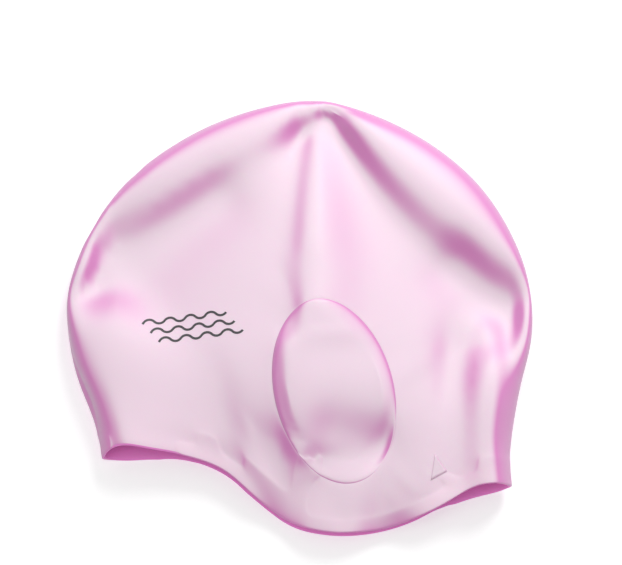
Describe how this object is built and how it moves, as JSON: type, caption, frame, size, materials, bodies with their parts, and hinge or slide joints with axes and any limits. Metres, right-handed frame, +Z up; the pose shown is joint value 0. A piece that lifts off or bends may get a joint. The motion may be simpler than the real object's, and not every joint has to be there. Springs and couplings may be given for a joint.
{
  "type": "silicone swim cap",
  "caption": "Moulded silicone swim cap with a raised ear pocket on each side and a thicker rim band, lying flat on its side with the mouth slightly open.",
  "frame": {"origin": "on the surface that the cap lies on, under the middle of its box", "axes": "+Z up from the surface, +Y from the mouth to the crown, +X across the cap"},
  "size_m": [0.2226, 0.2111, 0.03],
  "materials": {
    "silicone": "satin"
  },
  "bodies": {
    "root": {"cap_shell": "silicone"}
  },
  "joints": []
}
